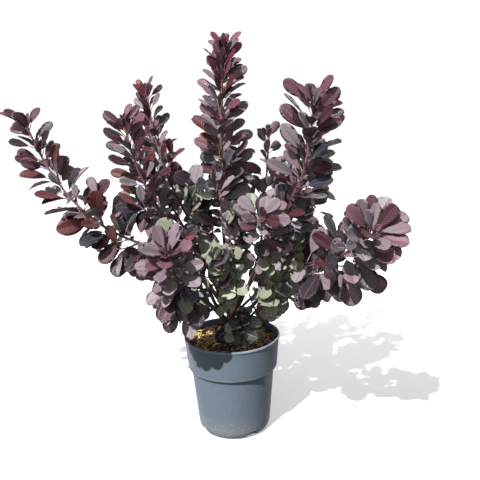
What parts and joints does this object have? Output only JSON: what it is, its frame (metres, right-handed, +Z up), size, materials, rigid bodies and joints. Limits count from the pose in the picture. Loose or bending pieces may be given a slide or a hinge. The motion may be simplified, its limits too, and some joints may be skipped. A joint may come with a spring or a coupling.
{
  "type": "potted purple smoke bush",
  "caption": "Young purple-leaved smoke bush with upright and arching shoots in a round grey-blue nursery pot, for gardens, terraces and planting scenes.",
  "frame": {"origin": "centre of the pot's flat underside, on the surface that it stands on", "axes": "+Z up along the pot's axis, -Y towards the side the picture shows, +X to the right as seen from there"},
  "size_m": [0.7019, 0.4903, 0.7734],
  "materials": {
    "pot": "satin",
    "soil": "matte",
    "bark": "matte",
    "leaf": "matte"
  },
  "bodies": {
    "root": {"pot": "pot", "soil": "soil", "trunk": "bark", "bough_back_centre": "bark", "bough_back_left": "bark", "bough_back_right": "bark", "bough_centre_front": "bark", "bough_far_left": "bark", "bough_leader": "bark", "bough_left_back": "bark", "bough_left_front": "bark", "bough_left_low": "bark", "bough_right": "bark", "bough_right_front": "bark", "bough_right_thin": "bark", "foliage_back_centre": "leaf", "foliage_back_left": "leaf", "foliage_back_right": "leaf", "foliage_centre_front": "leaf", "foliage_far_left": "leaf", "foliage_inner_back": "leaf", "foliage_inner_back_left": "leaf", "foliage_inner_back_right": "leaf", "foliage_inner_front": "leaf", "foliage_inner_left": "leaf", "foliage_inner_low": "leaf", "foliage_inner_right": "leaf", "foliage_inner_side": "leaf", "foliage_inner_top": "leaf", "foliage_inner_upper": "leaf", "foliage_leader": "leaf", "foliage_left_back": "leaf", "foliage_left_front": "leaf", "foliage_left_low": "leaf", "foliage_right": "leaf", "foliage_right_front": "leaf", "foliage_right_thin": "leaf"}
  },
  "joints": []
}
